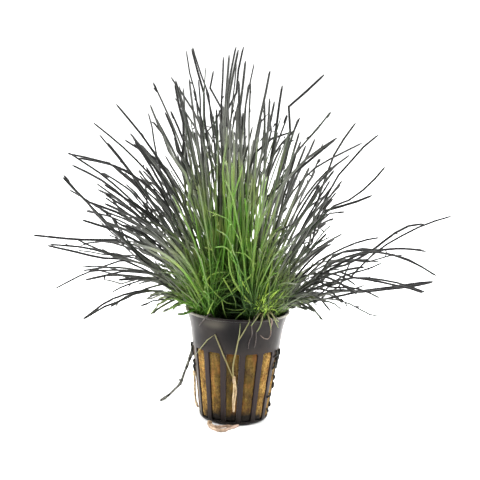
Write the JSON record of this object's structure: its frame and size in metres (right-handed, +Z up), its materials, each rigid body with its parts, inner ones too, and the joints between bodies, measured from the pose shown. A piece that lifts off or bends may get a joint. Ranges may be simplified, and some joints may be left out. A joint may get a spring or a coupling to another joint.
{
  "type": "potted dwarf hairgrass",
  "caption": "Small aquarium plant: a dense fan of needle-like green stems that grows from a mineral wool plug in a slotted dark grey plastic pot with a flat base.",
  "frame": {"origin": "centre of the underside of the pot's base, on the surface that the pot stands on", "axes": "+Z up along the pot's axis, -Y towards the viewer, +X to the viewer's right"},
  "size_m": [0.2, 0.1905, 0.1842],
  "materials": {
    "pot_plastic": "moulded dark grey polypropylene, slightly see-through, satin gloss",
    "mineral_wool": "coarse yellow-brown mineral wool, matte, darker and damp at the foot",
    "grass": "living needle stems, fresh green at the crown and grey-olive to the dark tips",
    "young_leaf": "young yellow-green leaves and runners, satin",
    "pale_root": "pale cream to pinkish roots, damp",
    "dark_root": "old grey-brown root, matte"
  },
  "bodies": {
    "root": {"pot": "pot_plastic", "wool_plug": "mineral_wool", "tuft_centre": "grass", "tuft_inner_1": "grass", "tuft_inner_2": "grass", "tuft_inner_3": "grass", "tuft_inner_4": "grass", "tuft_inner_5": "grass", "tuft_inner_6": "grass", "tuft_middle_1": "grass", "tuft_middle_10": "grass", "tuft_middle_2": "grass", "tuft_middle_3": "grass", "tuft_middle_4": "grass", "tuft_middle_5": "grass", "tuft_middle_6": "grass", "tuft_middle_7": "grass", "tuft_middle_8": "grass", "tuft_middle_9": "grass", "tuft_outer_1": "grass", "tuft_outer_10": "grass", "tuft_outer_11": "grass", "tuft_outer_12": "grass", "tuft_outer_13": "grass", "tuft_outer_14": "grass", "tuft_outer_15": "grass", "tuft_outer_16": "grass", "tuft_outer_2": "grass", "tuft_outer_3": "grass", "tuft_outer_4": "grass", "tuft_outer_5": "grass", "tuft_outer_6": "grass", "tuft_outer_7": "grass", "tuft_outer_8": "grass", "tuft_outer_9": "grass", "rim_plantlet": "young_leaf", "hanging_plantlet": "young_leaf", "rim_root": "pale_root", "side_root": "pale_root", "surface_root": "pale_root", "trailing_root": "dark_root"}
  },
  "joints": []
}
